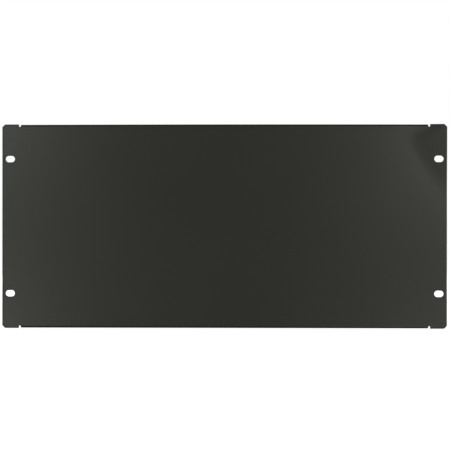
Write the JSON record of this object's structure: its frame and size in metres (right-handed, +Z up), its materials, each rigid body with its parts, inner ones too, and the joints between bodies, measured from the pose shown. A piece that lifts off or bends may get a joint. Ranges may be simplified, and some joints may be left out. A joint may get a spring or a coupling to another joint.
{
  "type": "rack blanking panel",
  "caption": "Flat steel blanking panel for a 19 inch rack, with slotted ears and with top and bottom edges folded back between bend reliefs.",
  "frame": {"origin": "centre of the four fixing slots, on the back face of the ears, which meets the rack's rails", "axes": "+X across the rack to the right as seen from the front, +Y from the front to the back, +Z up"},
  "size_m": [0.4826, 0.015, 0.2214],
  "materials": {
    "powder_coat": "satin black powder coat with a fine grain"
  },
  "bodies": {
    "root": {"panel": "powder_coat"}
  },
  "joints": []
}
